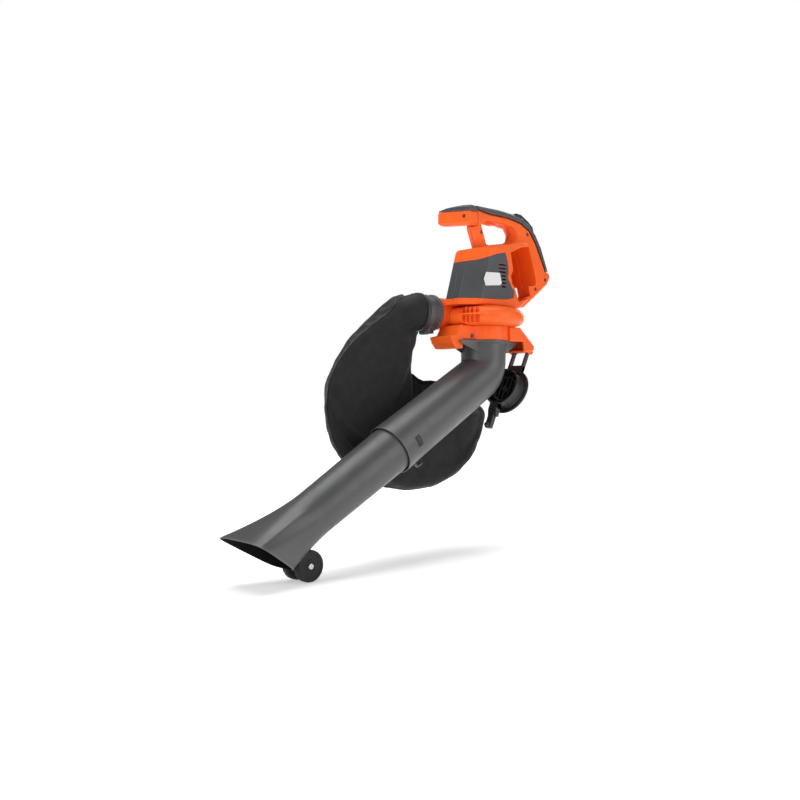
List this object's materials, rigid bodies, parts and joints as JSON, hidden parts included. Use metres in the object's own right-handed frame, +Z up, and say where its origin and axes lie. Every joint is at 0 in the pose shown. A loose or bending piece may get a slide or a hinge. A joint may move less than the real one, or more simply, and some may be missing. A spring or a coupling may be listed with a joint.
{
  "type": "leaf blower",
  "caption": "Cordless leaf blower set up as a vacuum, with cross handle, wheeled suction tube, open inlet cover and side collecting bag",
  "frame": {"origin": "middle of the rear hand grip bar", "axes": "+Z up, -X forward along the suction tube, -Y the user's left, +Y the side that carries the bag"},
  "size_m": [0.9279, 0.248, 0.828],
  "materials": {
    "orange_plastic": "satin moulded, fine grain",
    "grey_plastic": "matte moulded, fine grain",
    "charcoal_plastic": "satin moulded, faint mould lines",
    "black_plastic": "matte moulded",
    "soft_rubber": "matte rubber",
    "bag_fabric": "woven polyester, matte",
    "label": "plain printed film",
    "steel": "plain turned steel",
    "copper": "laminations and varnished windings",
    "board": "solder mask"
  },
  "bodies": {
    "machine": {"left_shell": "orange_plastic", "right_shell": "orange_plastic", "front_handle": "orange_plastic", "battery_rail_lower": "orange_plastic", "battery_rail_upper": "orange_plastic", "upper_fan_housing": "orange_plastic", "lower_fan_housing": "orange_plastic", "inlet_base": "orange_plastic", "left_motor_cover": "grey_plastic", "right_motor_cover": "grey_plastic", "handle_grip_cap": "grey_plastic", "front_handle_cap": "grey_plastic", "bag_coupler": "grey_plastic", "strap_hook": "grey_plastic", "upper_tube": "charcoal_plastic", "lower_tube": "charcoal_plastic", "control_panel": "black_plastic", "trigger_switch": "black_plastic", "battery_terminals": "black_plastic", "wheel_bracket": "black_plastic", "bag_clamp": "black_plastic", "bag_zipper": "black_plastic", "inlet_seal": "soft_rubber", "collecting_bag": "bag_fabric", "side_badge": "label", "shell_screw_1": "steel", "shell_screw_2": "steel", "shell_screw_3": "steel", "shell_screw_4": "steel", "front_handle_screw": "steel", "trigger_pin": "steel", "trigger_spring": "steel", "controller_heatsink": "steel", "motor_mount": "steel", "lower_bearing": "steel", "motor_end_bell": "steel", "upper_bearing": "steel", "wheel_axle": "steel", "coupler_latch_pin": "steel", "cover_hinge_pin": "steel", "motor_stator": "copper", "controller_board": "board"},
    "trigger": {"trigger": "orange_plastic"},
    "power_button": {"power_button": "grey_plastic"},
    "boost_button": {"boost_button": "grey_plastic"},
    "rotor": {"rotor_shaft": "steel", "impeller": "charcoal_plastic", "impeller_nut": "steel"},
    "tube_release_button": {"tube_release_button": "grey_plastic"},
    "tube_lock_button": {"tube_lock_button": "black_plastic"},
    "left_wheel": {"left_wheel": "soft_rubber", "left_hub_cap": "steel"},
    "right_wheel": {"right_wheel": "soft_rubber", "right_hub_cap": "steel"},
    "coupler_latch": {"coupler_latch": "grey_plastic"},
    "zip_slider": {"zip_slider": "steel"},
    "inlet_cover": {"inlet_cover": "black_plastic", "cover_grille": "black_plastic"},
    "cover_catch": {"cover_catch": "black_plastic"}
  },
  "joints": [
    {"name": "trigger_squeeze", "type": "hinge", "parent": "machine", "child": "trigger", "pos_m": [0.003, 0, -0.007], "axis": [0, 1, 0], "range_deg": [0, 4], "stiffness_Nm_per_rad": 1.2, "springref_deg": -11.46, "deforming": ["trigger_spring"]},
    {"name": "power_button_press", "type": "slide", "parent": "machine", "child": "power_button", "axis": [-0.4472, 0, -0.8944], "range_m": [0, 0.001], "stiffness_N_per_m": 500, "springref_m": -0.0008},
    {"name": "boost_button_press", "type": "slide", "parent": "machine", "child": "boost_button", "axis": [-0.5767, 0, -0.817], "range_m": [0, 0.001], "stiffness_N_per_m": 500, "springref_m": -0.0008},
    {"name": "impeller_spin", "type": "hinge", "parent": "machine", "child": "rotor", "pos_m": [-0.028, 0, -0.203], "axis": [0, 0, 1], "continuous": true},
    {"name": "tube_release_press", "type": "slide", "parent": "machine", "child": "tube_release_button", "axis": [0, 1, 0], "range_m": [0, 0.002], "stiffness_N_per_m": 600, "springref_m": -0.001},
    {"name": "tube_lock_press", "type": "slide", "parent": "machine", "child": "tube_lock_button", "axis": [0, 1, 0], "range_m": [0, 0.002], "stiffness_N_per_m": 600, "springref_m": -0.001},
    {"name": "left_wheel_spin", "type": "hinge", "parent": "machine", "child": "left_wheel", "pos_m": [-0.563, 0, -0.7704], "axis": [0, 1, 0], "continuous": true},
    {"name": "right_wheel_spin", "type": "hinge", "parent": "machine", "child": "right_wheel", "pos_m": [-0.563, 0, -0.7704], "axis": [0, 1, 0], "continuous": true},
    {"name": "coupler_latch_press", "type": "hinge", "parent": "machine", "child": "coupler_latch", "pos_m": [-0.166, 0.06, -0.274], "axis": [0, 1, 0], "range_deg": [0, 6], "stiffness_Nm_per_rad": 1, "springref_deg": -11.46},
    {"name": "zip_slide", "type": "slide", "parent": "machine", "child": "zip_slider", "axis": [0, 0, -1], "range_m": [0, 0.18]},
    {"name": "inlet_cover_swing", "type": "hinge", "parent": "machine", "child": "inlet_cover", "pos_m": [0.114, 0, -0.319], "axis": [0, 1, 0], "range_deg": [-60, 4]},
    {"name": "cover_catch_pull", "type": "slide", "parent": "inlet_cover", "child": "cover_catch", "axis": [-0.4305, 0, -0.9026], "range_m": [0, 0.006], "stiffness_N_per_m": 400, "springref_m": -0.002}
  ]
}
